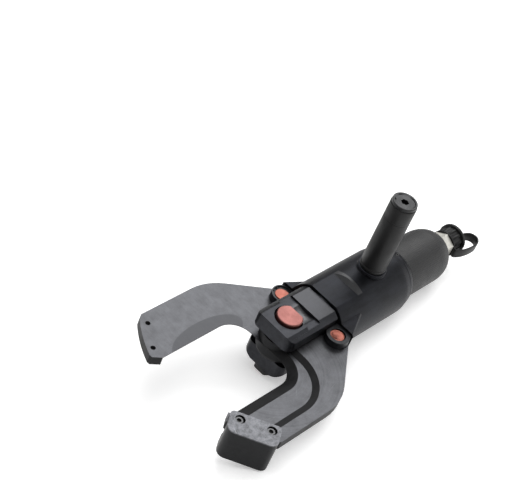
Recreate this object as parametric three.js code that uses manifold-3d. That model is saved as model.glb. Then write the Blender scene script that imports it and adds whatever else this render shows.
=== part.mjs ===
// Hydraulic cable cutter head. Millimetres, +X forward along the tool, +Z up along the carrying handle.
// The two blades are the same casting, one turned half a turn about X, so they pass each other on the
// plane z = 0 of the modelling frame. Everything is modelled with x = 0 at the two tail pins and is moved
// to the part's own frame at the end.
import * as THREE from 'three';
import { mergeVertices } from 'three/addons/utils/BufferGeometryUtils.js';
import Module from 'manifold-3d';

const wasm = await Module();
wasm.setup();

// ---- driving dimensions ----
const GAP = 0.3;                      // between pieces that touch
const ORIGIN_X = -59.71;              // middle of the tool's length
const ORIGIN_Y = 1.25;                // middle of its width
const ORIGIN_Z = -51;                 // underside of the pivot nut
const REACH = 300;                    // longer than any cut has to be

const PIVOT_X = 47.5;
const HUB_R = 27.5;
const TAIL_Y = 44;
const TAIL_R = 16.5;
const BLADE_T = 12.4;
const SHEAR_GAP = 0.15;               // each blade's face off the shear plane
const BLADE_OUT = 114;                // outer straight edge
const EDGE_Y = 51.5;                  // cutting edge, straight part
const EDGE_R = 27;                    // cutting edge, throat
const THROAT_X = 102;
const TIP_R = 171.3;                  // blade tips run on this circle about the pivot
const LEDGE_Z = 8;

const PIN_R = 12.6;
const PIN_HEAD_R = 16.4;
const PIN_TOP = 40.6;
const TAIL_PIN_R = 9.4;
const LUG_T = 9.4;                    // each cheek of a link
const LUG_TOP = BLADE_T + GAP + LUG_T;
const LUG_BOTTOM = -GAP - LUG_T;

const PLATE_GAP = 16.6;               // half the slot of the fork
const FORK_TOP = 37;
const FORK_SIDE = 30;
const FORK_R = 43;

const BODY_R = 45;
const FLAT_Z = 40.1;
const FRONT_X = -14.5;
const BORE_R = 37.6;
const EAR_TOP = 26;
const EAR_BOTTOM = -13.7;
const BULKHEAD_X = -74;
const BULKHEAD_T = 10;

const LINK_REAR_X = -56.6;
const LINK_REAR_Y = 22;
const LINK_REAR_R = 9;
const LINK_PIN_R = 4.6;
const BAR_Z = 12.2;

const BARREL_R = 33.6;
const CYLINDER_R = 27;
const PISTON_FRONT = -171;
const PISTON_T = 22;
const ROD_R = 10;
const GRIP_R = 36.2;
const HANDLE_X = -102.4;
const HANDLE_R = 16.8;
const HANDLE_TOP = 158.6;
const SEAT_Z = 43;                    // milled seat under the handle
const SET_SCREW_X = -158;

// ---- materials ----
const look = (color, roughness, metalness) => new THREE.MeshStandardMaterial({ color, roughness, metalness });
const blackened = look(0x33343a, 0.5, 0.6);
const forged = look(0x6f7076, 0.45, 0.8);
const plateSteel = look(0x66676b, 0.45, 0.8);
const copperPin = look(0xc07a66, 0.35, 0.9);
const steel = look(0x8a8c90, 0.35, 0.9);
const darkSteel = look(0x3a3b40, 0.4, 0.8);
const zinc = look(0xc8c8ba, 0.35, 0.9);
const rubber = look(0x202124, 0.7, 0);
const gripRubber = look(0x46464a, 0.9, 0);
const bronze = look(0xa07840, 0.4, 0.9);
const seal = look(0x2a3d5c, 0.6, 0);

// ---- solids ----
function toSolid(geometry) {
  const bare = geometry.index ? geometry.toNonIndexed() : geometry.clone();
  bare.deleteAttribute('normal');
  bare.deleteAttribute('uv');
  const merged = mergeVertices(bare, 1e-5);
  const vertProperties = new Float32Array(merged.attributes.position.array);
  const triVerts = new Uint32Array(merged.index.array);
  return new wasm.Manifold(new wasm.Mesh({ numProp: 3, vertProperties, triVerts }));
}

function toGeometry(solid) {
  const { vertProperties, triVerts, numProp } = solid.getMesh();
  const positions = new Float32Array((vertProperties.length / numProp) * 3);
  for (let i = 0; i < positions.length / 3; i += 1) {
    for (let k = 0; k < 3; k += 1) positions[3 * i + k] = vertProperties[numProp * i + k];
  }
  const geometry = new THREE.BufferGeometry();
  geometry.setAttribute('position', new THREE.BufferAttribute(positions, 3));
  geometry.setIndex(new THREE.BufferAttribute(new Uint32Array(triVerts), 1));
  return geometry;
}

const union = (...solids) => solids.reduce((sum, solid) => sum.add(solid));
const toVector = ([x, y]) => new THREE.Vector2(x, y);
const cut = (solid, ...tools) => tools.reduce((rest, tool) => rest.subtract(tool), solid);

function moved(geometry, x, y, z) {
  geometry.translate(x, y, z);
  return geometry;
}

// A flat outline raised from z0 to z1.
function prism(points, z0, z1) {
  const shape = new THREE.Shape(points.map(toVector));
  const geometry = new THREE.ExtrudeGeometry(shape, { depth: z1 - z0, bevelEnabled: false });
  return toSolid(moved(geometry, 0, 0, z0));
}

// Two outlines with the same number of points, one at z0 and one at z1, joined by ruled sides.
function loft(lower, z0, upper, z1) {
  const count = lower.length;
  const positions = [];
  const point = (i, top) => (top ? [...upper[i % count], z1] : [...lower[i % count], z0]);
  for (let i = 0; i < count; i += 1) {
    positions.push(...point(i, false), ...point(i + 1, false), ...point(i + 1, true));
    positions.push(...point(i, false), ...point(i + 1, true), ...point(i, true));
  }
  const faces = (outline) => {
    const contour = outline.map(toVector);
    return THREE.ShapeUtils.triangulateShape(contour, []);
  };
  for (const [a, b, c] of faces(lower)) {
    positions.push(...point(c, false), ...point(b, false), ...point(a, false));
  }
  for (const [a, b, c] of faces(upper)) {
    positions.push(...point(a, true), ...point(b, true), ...point(c, true));
  }
  const geometry = new THREE.BufferGeometry();
  geometry.setAttribute('position', new THREE.Float32BufferAttribute(positions, 3));
  return toSolid(geometry);
}

// A profile of [distance along the axis, radius] turned about Z at (x, y).
function turnZ(profile, segments = 32, x = 0, y = 0) {
  const points = profile.map(([along, radius]) => new THREE.Vector2(radius, along));
  const geometry = new THREE.LatheGeometry(points, segments);
  geometry.rotateX(Math.PI / 2);
  const solid = toSolid(moved(geometry, x, y, 0));
  return solid.volume() < 0 ? turnZ([...profile].reverse(), segments, x, y) : solid;
}

// The same about X, the tool's axis.
function turnX(profile, segments = 40) {
  const geometry = toGeometry(turnZ(profile, segments));
  geometry.rotateY(Math.PI / 2);
  return toSolid(geometry);
}

// A solid turned about the tool's axis, in degrees.
function turned(solid, angle) {
  const geometry = toGeometry(solid);
  geometry.rotateX(THREE.MathUtils.degToRad(angle));
  return toSolid(geometry);
}

// Half a turn: the other blade's side of the tool.
const halfTurn = (solid) => turned(solid, 180);

// An outline in (x, z) carried from y0 to y1.
function prismY(points, y0, y1) {
  const geometry = toGeometry(prism(points, -y1, -y0));
  geometry.rotateX(Math.PI / 2);
  return toSolid(geometry);
}

const rod = (r, z0, z1, x = 0, y = 0, segments = 32) => (
  turnZ([[z0, 0], [z0, r], [z1, r], [z1, 0]], segments, x, y)
);
const rodX = (r, x0, x1, segments = 40) => turnX([[x0, 0], [x0, r], [x1, r], [x1, 0]], segments);

function box(x0, x1, y0, y1, z0, z1) {
  const geometry = new THREE.BoxGeometry(x1 - x0, y1 - y0, z1 - z0);
  return toSolid(moved(geometry, (x0 + x1) / 2, (y0 + y1) / 2, (z0 + z1) / 2));
}

function hexPrism(acrossFlats, z0, z1, x = 0, y = 0) {
  const radius = acrossFlats / Math.sqrt(3);
  return rod(radius, z0, z1, x, y, 6);
}

// ---- outlines ----
// Points on an arc, angles in degrees, both ends included.
function arc(x, y, r, from, to, steps) {
  const points = [];
  for (let i = 0; i <= steps; i += 1) {
    const angle = THREE.MathUtils.degToRad(from + ((to - from) * i) / steps);
    points.push([x + r * Math.cos(angle), y + r * Math.sin(angle)]);
  }
  return points;
}

// A polygon of [x, y, corner radius] with its corners rounded.
function rounded(corners, steps = 4) {
  const points = [];
  corners.forEach(([x, y, r = 0], i) => {
    const before = corners[(i + corners.length - 1) % corners.length];
    const after = corners[(i + 1) % corners.length];
    const corner = new THREE.Vector2(x, y);
    const a = new THREE.Vector2(before[0], before[1]).sub(corner).normalize();
    const b = new THREE.Vector2(after[0], after[1]).sub(corner).normalize();
    if (r === 0) {
      points.push([x, y]);
      return;
    }
    const half = Math.acos(THREE.MathUtils.clamp(a.dot(b), -1, 1)) / 2;
    const reach = r / Math.tan(half);
    const centre = a.clone().add(b).normalize().multiplyScalar(r / Math.sin(half)).add(corner);
    const start = a.clone().multiplyScalar(reach).add(corner).sub(centre);
    const turn = (Math.PI - 2 * half) * Math.sign(a.cross(b)) * -1;
    for (let k = 0; k <= steps; k += 1) {
      const ray = start.clone().rotateAround(new THREE.Vector2(), (turn * k) / steps);
      points.push([centre.x + ray.x, centre.y + ray.y]);
    }
  });
  return points;
}

// ---- blades ----
const OUT_SLOPE = THREE.MathUtils.degToRad(37.2);

// Outline of the upper blade, which lies on the +Y side.
function bladeOutline() {
  const toPivot = Math.hypot(PIVOT_X, TAIL_Y);
  const centreLine = Math.atan2(-TAIL_Y, PIVOT_X);
  const lean = Math.asin((HUB_R - TAIL_R) / toPivot);
  const innerNormal = THREE.MathUtils.radToDeg(centreLine - Math.PI / 2 + lean);
  const outerNormal = THREE.MathUtils.radToDeg(OUT_SLOPE) + 90;
  const shoulderR = 74;
  const shoulderY = BLADE_OUT - shoulderR;
  const tangentX = -TAIL_R * Math.sin(OUT_SLOPE);
  const tangentY = TAIL_Y + TAIL_R * Math.cos(OUT_SLOPE);
  const rise = shoulderY + shoulderR * Math.cos(OUT_SLOPE) - tangentY;
  const shoulderX = tangentX + rise / Math.tan(OUT_SLOPE) + shoulderR * Math.sin(OUT_SLOPE);
  const tipStart = THREE.MathUtils.radToDeg(Math.asin((BLADE_OUT - 3) / TIP_R));
  const tip = arc(PIVOT_X, 0, TIP_R, tipStart, 21.4, 8);
  return [
    ...arc(0, TAIL_Y, TAIL_R, innerNormal, outerNormal - 360, 10),
    ...arc(shoulderX, shoulderY, shoulderR, outerNormal, 90, 6),
    [tip[0][0] - 5, BLADE_OUT],
    ...tip,
    [PIVOT_X + TIP_R * Math.cos(0.358) - 1.2, 58.6],
    [196, EDGE_Y],
    ...arc(THROAT_X, EDGE_Y - EDGE_R, EDGE_R, 90, 180, 10),
    ...arc(PIVOT_X, 0, HUB_R, 0, innerNormal, 14),
  ];
}

// Curve that a bevel follows: straight along the tip, then round the throat and down beside the hub.
function bevelCurve(centreX, centreY, r) {
  const inside = 30;
  return [
    [230, centreY + r],
    ...arc(centreX, centreY, r, 90, 180, 12),
    [centreX - r, -inside],
    [230, -inside],
  ];
}

// Directions of the blade's tip: "across" points out of it, "along" runs from the outer side to the throat.
const ACROSS = [0.8362, 0.5484];
const ALONG = [0.5484, -0.8362];
const PAD_BACK = 192;                 // the full thickness pad that the guide block sits on starts here
const onTip = ([across, along, r]) => [
  across * ACROSS[0] + along * ALONG[0],
  across * ACROSS[1] + along * ALONG[1],
  r,
];

function makeBlade() {
  const stock = prism(bladeOutline(), SHEAR_GAP, BLADE_T);
  const above = 1;
  const step = loft(
    bevelCurve(111, 42.2, 48.2),
    LEDGE_Z,
    bevelCurve(113, 42.3, 59),
    BLADE_T + above,
  );
  const land = 0.8;
  const edge = loft(
    bevelCurve(THROAT_X, EDGE_Y - EDGE_R - 0.4, EDGE_R),
    land,
    bevelCurve(104.8, 28.1, 37.6),
    LEDGE_Z + 0.01,
  );
  const hub = rod(HUB_R, SHEAR_GAP, BLADE_T, PIVOT_X, 0, 40);
  const padSide = [[PAD_BACK, -200], [PAD_BACK, 200], [-200, 200], [-200, -200]];
  const behindPad = prism(padSide.map(onTip), -REACH, REACH);
  const shaped = union(cut(stock, step.intersect(behindPad), edge.intersect(behindPad)), hub);
  const pivotBore = rod(PIN_R + GAP, -1, BLADE_T + above, PIVOT_X, 0);
  const tailBore = rod(TAIL_PIN_R + GAP, -1, BLADE_T + above, 0, TAIL_Y);
  const screwBores = GUIDE_SCREWS.map(([x, y]) => rod(2.9 + GAP, -1, BLADE_T + above, x, y, 16));
  return cut(shaped, pivotBore, tailBore, ...screwBores);
}

const GUIDE_SCREWS = [[175.5, 99.5], [196, 68.4]];

// ---- guide block on the upper blade's tip ----
const GUIDE_FRONT = 223;
const GUIDE_TOP = 18.5;
const GUIDE_BOTTOM = -26;

function makeGuideBlock() {
  const outline = (back, corner) => rounded([
    [back, 2.6, corner], [back, 62.6, corner], [GUIDE_FRONT, 62.6, 10], [GUIDE_FRONT, 2.6, 9],
  ].map(onTip));
  const upper = prism(outline(PAD_BACK, 5), -1, GUIDE_TOP);
  const lower = prism(outline(199, 4), GUIDE_BOTTOM, 0);
  const slot = rod(TIP_R + 0.8, -BLADE_T - 0.5, BLADE_T + GAP, PIVOT_X, 0, 120);
  const bores = GUIDE_SCREWS.flatMap(([x, y]) => [
    rod(6, GUIDE_TOP - 3.6, GUIDE_TOP + 1, x, y, 20),
    rod(2.9 + GAP, 5, GUIDE_TOP, x, y, 16),
  ]);
  return cut(union(upper, lower), slot, ...bores);
}

function makeGuideScrew([x, y]) {
  const headBottom = GUIDE_TOP - 3.6 + GAP;
  const headTop = GUIDE_TOP - 0.3;
  const shaft = turnZ([
    [1.2, 0], [1.2, 2.3], [1.8, 2.9], [headBottom, 2.9], [headBottom, 5], [headTop - 0.4, 5], [headTop, 4.6],
    [headTop, 0],
  ], 20, x, y);
  return cut(shaft, hexPrism(4.6, headTop - 2.4, headTop + 1, x, y));
}

// ---- links: two cheeks round the blade's tail, one bar back to the crosshead ----
const LINK_BACK = Math.atan2(LINK_REAR_Y - TAIL_Y, LINK_REAR_X);
// Link directions: "back" runs from the tail pin to the rear pin, "inward" points to the tool's axis.
const onLink = ([back, inward]) => [
  back * Math.cos(LINK_BACK) - inward * Math.sin(LINK_BACK),
  TAIL_Y + back * Math.sin(LINK_BACK) + inward * Math.cos(LINK_BACK),
];

function makeLink() {
  const length = Math.hypot(LINK_REAR_X, LINK_REAR_Y - TAIL_Y);
  const noseR = 15;
  const outline = [
    ...arc(0, 0, noseR, 90, 270, 12),
    [9, -14.2],
    [20, -11.2],
    [28, -10.2],
    ...arc(length, 0, LINK_REAR_R, -90, 90, 8),
    [28, 10.6],
    [14, 14.2],
  ].map(onLink);
  const whole = prism(outline, LUG_BOTTOM, LUG_TOP);
  const inside = box(-90, 40, 0, FORK_SIDE + 0.7, BAR_Z, 40);
  const behind = box(-90, -28, 0, 90, BAR_Z, 40);
  const tailRoom = prism([
    [-24, -24], [TAIL_R + 1, -24], [TAIL_R + 1, -12.5], [TAIL_R + 31.5, 18], [TAIL_R + 31.5, 24], [-24, 24],
  ].map(onLink), -GAP, BLADE_T + GAP);
  const frontBore = rod(TAIL_PIN_R + GAP, -30, 30, 0, TAIL_Y);
  const ringSeat = rod(13, LUG_BOTTOM - 5, LUG_BOTTOM + 2.4, 0, TAIL_Y);
  const rearBore = rod(LINK_PIN_R + GAP, -30, 30, LINK_REAR_X, LINK_REAR_Y, 20);
  return cut(whole, inside, behind, tailRoom, frontBore, ringSeat, rearBore);
}

function makeTailPin() {
  const groove = LUG_BOTTOM + 1.6;
  return turnZ([
    [LUG_BOTTOM, 0], [LUG_BOTTOM, 8.9], [LUG_BOTTOM + 0.5, TAIL_PIN_R], [groove - 0.9, TAIL_PIN_R],
    [groove - 0.9, 8.2], [groove + 0.8, 8.2], [groove + 0.8, TAIL_PIN_R], [LUG_TOP - 0.6, TAIL_PIN_R],
    [LUG_TOP, 8.8], [LUG_TOP, 0],
  ], 32, 0, TAIL_Y);
}

// Snap ring with its gap on the outer side.
function makeTailRing() {
  const z = LUG_BOTTOM + 1;
  const ring = turnZ([[z, 8.5], [z, 12.4], [z + 1.1, 12.4], [z + 1.1, 8.5], [z, 8.5]], 32, 0, TAIL_Y);
  return cut(ring, box(-2.4, 2.4, TAIL_Y + 4, TAIL_Y + 20, z - 1, z + 3));
}

function makeRearPin() {
  const end = PLATE_GAP - 0.7;
  return turnZ([[-end, 0], [-end, LINK_PIN_R], [end, LINK_PIN_R], [end, 0]], 20, LINK_REAR_X, LINK_REAR_Y);
}

// ---- fork: the fixed clevis that carries the pivot pin, with the bulkhead that guides the rod ----
const NECK_R = 37.2;
const NECK_FRONT = FRONT_X + 2.3;

function forkSection(x0, x1, r, top, bottom) {
  const bar = rodX(r, x0, x1, 48);
  return cut(
    bar,
    box(x0 - 1, x1 + 1, FORK_SIDE, REACH, -REACH, REACH),
    box(x0 - 1, x1 + 1, -REACH, -FORK_SIDE, -REACH, REACH),
    box(x0 - 1, x1 + 1, -REACH, REACH, top, REACH),
    box(x0 - 1, x1 + 1, -REACH, REACH, -REACH, bottom),
  );
}

function makeFork() {
  const neck = forkSection(BULKHEAD_X - 1, NECK_FRONT + 1, NECK_R, 40, -40);
  const bulkhead = rodX(NECK_R, BULKHEAD_X - BULKHEAD_T, BULKHEAD_X, 48);
  const upper = forkSection(NECK_FRONT, 74.6, FORK_R, FORK_TOP, 0);
  const lower = forkSection(NECK_FRONT, 66, FORK_R, 0, -40);
  const plan = (front, corner) => prism(rounded([
    [-120, -60], [front, -FORK_SIDE, corner], [front, FORK_SIDE, corner], [-120, 60],
  ], 5), -REACH, REACH);
  const cheeks = union(upper.intersect(plan(74.6, 11)), lower.intersect(plan(66, 9)));
  const slot = box(BULKHEAD_X, REACH, -REACH, REACH, -PLATE_GAP, PLATE_GAP);
  const scoopR = 30;
  const scoop = rodX(scoopR, 18.2, 39, 72);
  const scoopCut = toSolid(moved(toGeometry(scoop), 0, 4, 31.5 + scoopR));
  const relief = box(18.2, 39, -FORK_SIDE - 1, FORK_SIDE + 1, 34.6, REACH);
  const headSeat = rod(18.4, 29, REACH, PIVOT_X + 0.5, 0, 40).subtract(box(0, 35.6, -40, 40, -REACH, REACH));
  const pinBore = rod(PIN_R + GAP, -REACH, REACH, PIVOT_X, 0);
  const rodBore = rodX(ROD_R + GAP, -200, -50, 24);
  const screws = FORK_SCREW_ANGLES.map((angle) => turned(rod(3.2, -50, -27, FORK_SCREW_X, 0, 12), angle));
  return cut(union(neck, bulkhead, cheeks), slot, relief, scoopCut, headSeat, pinBore, rodBore, ...screws);
}

// Radial cap screws from below, turned this far either way from straight down.
const FORK_SCREW_ANGLES = [-40, 40];
const FORK_SCREW_X = -45;
const FORK_SCREW_HEAD = -BODY_R + 0.4;

function makeForkScrew() {
  const z = FORK_SCREW_HEAD;
  const shape = turnZ([
    [z, 0], [z, 4.6], [z + 0.4, 5], [z + 3.7, 5], [z + 3.7, 2.9], [-29, 2.9], [-28.4, 2.3], [-28.4, 0],
  ], 16, FORK_SCREW_X, 0);
  return cut(shape, hexPrism(4.6, z - 1, z + 2.4, FORK_SCREW_X, 0));
}

function makePivotPin() {
  const headBottom = 29 + GAP;
  const shaft = turnZ([
    [-51, 0], [-51, 10], [-50, 11], [-40, 11], [-40, PIN_R], [headBottom, PIN_R], [headBottom, PIN_HEAD_R],
    [PIN_TOP - 1.2, PIN_HEAD_R], [PIN_TOP - 0.6, PIN_HEAD_R - 0.5], [PIN_TOP, PIN_HEAD_R - 1.6], [PIN_TOP, 0],
  ], 32, PIVOT_X, 0);
  return cut(shaft, box(0, 36, -40, 40, headBottom - 0.1, 60));
}

// Round nut with two spanner flats under the fork.
function makePivotNut() {
  const z = -40 - GAP;
  const nut = turnZ([
    [z, 11.3], [z, 16.4], [z - 9.6, 16.4], [z - 10.7, 15], [z - 10.7, 11.3], [z, 11.3],
  ], 32, PIVOT_X, 0);
  const flats = [-1, 1].map((side) => box(0, 90, side > 0 ? 14.6 : -30, side > 0 ? 30 : -14.6, -60, z - 5));
  return cut(nut, ...flats);
}

function makeWasher(side) {
  const near = side * (BLADE_T + GAP);
  const far = side * (PLATE_GAP - GAP);
  const inner = PIN_R + GAP;
  return turnZ([[near, inner], [near, 26], [far, 26], [far, inner], [near, inner]], 32, PIVOT_X, 0);
}

// ---- body housing ----
const EAR_FRONT_Y = 57;
const EAR_BACK_X = -54;
const EAR_BACK_Y = 37.4;
const EAR_SLOPE = (EAR_FRONT_Y - EAR_BACK_Y) / (FRONT_X - EAR_BACK_X);

// Flared side of the body that covers a link, or with an inset the room inside it.
function makeEar(inset, front) {
  const outline = (step) => [
    [EAR_BACK_X + 2 * inset, 20],
    [front, 20],
    [front, EAR_FRONT_Y + EAR_SLOPE * (front - FRONT_X) - inset - step],
    [EAR_BACK_X + 2 * inset, EAR_BACK_Y + 2 * inset * EAR_SLOPE - inset - step],
  ];
  const top = EAR_TOP - inset;
  const bottom = EAR_BOTTOM + inset;
  if (inset > 0) return prism(outline(0), bottom, top);
  const bevel = 2.2;
  return union(
    loft(outline(bevel), bottom, outline(0), bottom + bevel),
    prism(outline(0), bottom + bevel - 0.01, top - bevel + 0.01),
    loft(outline(0), top - bevel, outline(bevel), top),
  );
}

// Milled flat with its sloping run-out, as the material taken away above it.
function flatCut() {
  const crest = BODY_R + 5;
  return prismY([[10, FLAT_Z], [10, crest], [-64, crest], [-58, FLAT_Z]], -60, 60);
}

function makeBody() {
  const barrel = turnX([
    [FRONT_X, 0], [FRONT_X, BODY_R - 0.6], [FRONT_X - 0.6, BODY_R], [-140, BODY_R], [-146, 44.5],
    [-146.4, 43.9], [-149, 43.6], [-156, 42], [-156.4, 41.4], [-158.4, 41.4], [-163, 39.8], [-167, 37.4],
    [-167, 0],
  ], 48);
  const ear = makeEar(0, FRONT_X);
  const pocket = makeEar(2.6, 10);
  const frontBore = rodX(BORE_R, BULKHEAD_X - BULKHEAD_T - GAP, 10, 48);
  const rearBore = rodX(BARREL_R + GAP, -200, BULKHEAD_X - BULKHEAD_T, 48);
  const handleSeat = rod(19.5, SEAT_Z - 0.6, 80, HANDLE_X, 0, 32);
  const handleThread = rod(5.6, 30, 60, HANDLE_X, 0, 16);
  const setScrewBore = rod(2.6, 30, 60, SET_SCREW_X, 0, 12);
  const screwBores = FORK_SCREW_ANGLES.flatMap((angle) => [
    turned(rod(3.2, -60, -20, FORK_SCREW_X, 0, 12), angle),
    turned(rod(5.4, -60, FORK_SCREW_HEAD + 4, FORK_SCREW_X, 0, 16), angle),
  ]);
  return cut(union(barrel, ear, halfTurn(ear)), flatCut(), halfTurn(flatCut()), frontBore, rearBore, pocket,
    halfTurn(pocket), handleSeat, handleThread, setScrewBore, ...screwBores);
}

function makeSetScrew() {
  const shape = rod(2.3, BARREL_R + 0.7, 40.6, SET_SCREW_X, 0, 12);
  return cut(shape, hexPrism(2.2, 38.8, 44, SET_SCREW_X, 0));
}

// ---- cylinder: barrel, piston, rod, crosshead and return spring ----
const BARREL_FRONT = BULKHEAD_X - BULKHEAD_T - GAP;
const BORE_END = -215;
const ROUND_X = -232;
const PORT_R = 9.3;

// Quarter ellipse that rounds off the rear end, set in from the grip's outside.
function rearRound(inset) {
  return arc(0, 0, 1, 90, 0, 5).map(([c, s]) => [
    ROUND_X - (32 - inset) * c,
    18.5 + (GRIP_R - 18.5 - inset) * s,
  ]);
}

function makeBarrel() {
  const round = rearRound(GRIP_R - BARREL_R);
  return turnX([
    [BARREL_FRONT, CYLINDER_R], [BARREL_FRONT, BARREL_R], ...round, [-261.4, PORT_R], [-245, PORT_R],
    [-245, 3],
    [BORE_END, 3], [BORE_END, CYLINDER_R], [BARREL_FRONT, CYLINDER_R],
  ], 24);
}

function makeGrip() {
  const inner = rearRound(GRIP_R - BARREL_R - GAP).reverse();
  return turnX([
    [-167.6, BARREL_R + GAP], [-167.6, GRIP_R], ...rearRound(0), ...inner, [-167.6, BARREL_R + GAP],
  ], 28);
}

function makePiston() {
  const back = PISTON_FRONT - PISTON_T;
  const groove = (x, r) => [[x, 26.8], [x, r], [x - 6, r], [x - 6, 26.8]];
  return turnX([
    [PISTON_FRONT, 8.3], [PISTON_FRONT, 26], [PISTON_FRONT - 0.8, 26.8], ...groove(-176, 22.4),
    ...groove(-185, 24.4), [back, 26.8], [back, 8.3], [PISTON_FRONT, 8.3],
  ], 24);
}

const ringX = (x0, x1, rIn, rOut, segments = 24) => turnX([
  [x0, rIn], [x0, rOut], [x1, rOut], [x1, rIn], [x0, rIn],
], segments);

function makeRod() {
  return turnX([
    [-52, 0], [-52, 7], [-53, 8], [-72.3, 8], [-72.3, ROD_R], [PISTON_FRONT + GAP, ROD_R],
    [PISTON_FRONT + GAP, 8],
    [PISTON_FRONT - PISTON_T, 8], [PISTON_FRONT - PISTON_T, 0],
  ], 28);
}

function makeCrosshead() {
  const front = LINK_REAR_X + LINK_REAR_R;
  const block = rodX(36.9, -72, front, 40);
  const height = PLATE_GAP - 0.4;
  const sides = [1, -1].flatMap((side) => [
    box(-80, 0, -60, 60, side > 0 ? height : -60, side > 0 ? 60 : -height),
    box(-68.8, 0, side > 0 ? 11.6 : -60, side > 0 ? 60 : -11.6, -BAR_Z - 0.4, BAR_Z + 0.4),
    box(LINK_REAR_X - 7.2, LINK_REAR_X + 7.2, side > 0 ? 16.6 : -60, side > 0 ? 60 : -16.6, -60, 60),
  ]);
  return cut(block, ...sides, rodX(8.3, -90, -51, 28));
}

// A coil spring along X: mean coil radius, wire radius, number of turns, first and last coil centres.
function coilSpring(coilR, wire, turns, first, last, steps, sides) {
  class Helix extends THREE.Curve {
    getPoint(t) {
      const angle = 2 * Math.PI * turns * t;
      return new THREE.Vector3(first + (last - first) * t, coilR * Math.cos(angle), coilR * Math.sin(angle));
    }
  }
  const section = new THREE.Shape(arc(0, 0, wire, 0, 360 - 360 / sides, sides - 1).map(toVector));
  const options = { steps, bevelEnabled: false, extrudePath: new Helix() };
  return toSolid(new THREE.ExtrudeGeometry(section, options));
}

function makeReturnSpring() {
  const wire = 1.8;
  return coilSpring(17, wire, 6.5, BARREL_FRONT - wire - GAP, PISTON_FRONT + wire + GAP, 78, 6);
}

// ---- carrying handle ----
const RING_R = 18.8;
const RING_BOTTOM = SEAT_Z - 0.6 + GAP;
const RING_TOP = RING_BOTTOM + 6;
const SLEEVE_BOTTOM = RING_TOP + GAP;
const SLEEVE_TOP = 154.2;

function makeHandleRing() {
  return turnZ([
    [RING_BOTTOM, 6.3], [RING_BOTTOM, RING_R], [RING_TOP - 1.2, RING_R], [RING_TOP, RING_R - 1.2],
    [RING_TOP, 6.3], [RING_BOTTOM, 6.3],
  ], 28, HANDLE_X, 0);
}

function makeHandleCore() {
  return turnZ([
    [SLEEVE_BOTTOM, 6.3], [SLEEVE_BOTTOM, 12], [SLEEVE_TOP, 12], [SLEEVE_TOP, 6.3], [SLEEVE_BOTTOM, 6.3],
  ], 24, HANDLE_X, 0);
}

function makeHandleGrip() {
  const z = SLEEVE_BOTTOM;
  return turnZ([
    [z, 12.3], [z, 16.2], [z + 1, HANDLE_R], [z + 4, HANDLE_R], [z + 4.4, 16.3], [z + 5.4, 16.3],
    [z + 5.8, HANDLE_R], [153.4, HANDLE_R], [SLEEVE_TOP, 16.2], [SLEEVE_TOP, 12.3], [z, 12.3],
  ], 28, HANDLE_X, 0);
}

// Flanged tie bolt: its dished head closes the handle's end.
function makeHandleBolt() {
  const under = SLEEVE_TOP + GAP;
  const shape = turnZ([
    [34.6, 0], [34.6, 4.4], [35.5, 5.3], [under, 5.3], [under, 16], [HANDLE_TOP - 0.6, 16],
    [HANDLE_TOP, 15.3],
    [HANDLE_TOP, 13.6], [HANDLE_TOP - 1.4, 12.4], [HANDLE_TOP - 1.4, 0],
  ], 28, HANDLE_X, 0);
  const peg = rod(1.1, HANDLE_TOP - 3, HANDLE_TOP + 1, HANDLE_X + 6.5, -9.9, 8);
  return cut(shape, hexPrism(8.4, HANDLE_TOP - 7, HANDLE_TOP + 1, HANDLE_X, 0), peg);
}

// ---- hose coupler, dust cap and its strap ----
const HEX_REAR = -284;
const CAP_FRONT = -287.2;
const CAP_REAR = -310;

function makeAdaptor() {
  const hex = turned(rodX(31 / Math.sqrt(3), HEX_REAR, -261.8, 6), 30);
  const chamfer = turnX([
    [-261.8, 0], [-261.8, 17], [-263, 18], [HEX_REAR + 1.4, 18], [HEX_REAR, 16], [HEX_REAR, 0],
  ], 32);
  const shank = rodX(9, -262, -246, 28);
  return cut(union(hex.intersect(chamfer), shank), rodX(3, -300, -200, 12), rodX(8.3, -300, -270, 24));
}

function makeNipple() {
  return turnX([
    [-270.4, 5.4], [-270.4, 8], [HEX_REAR - GAP, 8], [HEX_REAR - GAP, 14.9], [-291, 14.9], [-292.4, 13],
    [-296, 13], [-297.4, 14.9], [-303.6, 14.9], [-305, 13.6], [-305, 6.4], [-299, 6.4], [-297.4, 8.4],
    [-276, 7.2], [-274, 5.4], [-270.4, 5.4],
  ], 20);
}

// Valve poppet: its nose is pushed in by the hose's half.
function makePoppet() {
  return turnX([
    [-272, 0], [-272, 2], [-290, 2], [-290, 6.6], [-296.6, 6.6], [-299.6, 4.4], [-305.6, 4.4], [-305.6, 0],
  ], 16);
}

const makePoppetSpring = () => coilSpring(4.2, 0.6, 4, -274.4, -289, 32, 4);

function makeDustCap() {
  const cap = turnX([
    [CAP_FRONT, 15.2], [CAP_FRONT, 16.4], [-288, 17.2], [-303.4, 17.2], [-304, 20.2], [-308, 20.2],
    [-309.2, 19], [CAP_REAR, 16], [CAP_REAR, 0], [-306.4, 0], [-306.4, 15.2], [CAP_FRONT, 15.2],
  ], 24);
  const nub = rodX(3, CAP_REAR - 2.8, CAP_REAR + 1, 16);
  const rib = (i) => turned(box(-303.6, -289, -1.5, 1.5, 16.6, 18.2), (360 * i) / 12);
  const ribs = Array.from({ length: 12 }, (_, i) => rib(i));
  return union(cap, nub, ...ribs);
}

const STRAP_HALF = 6.8;

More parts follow.
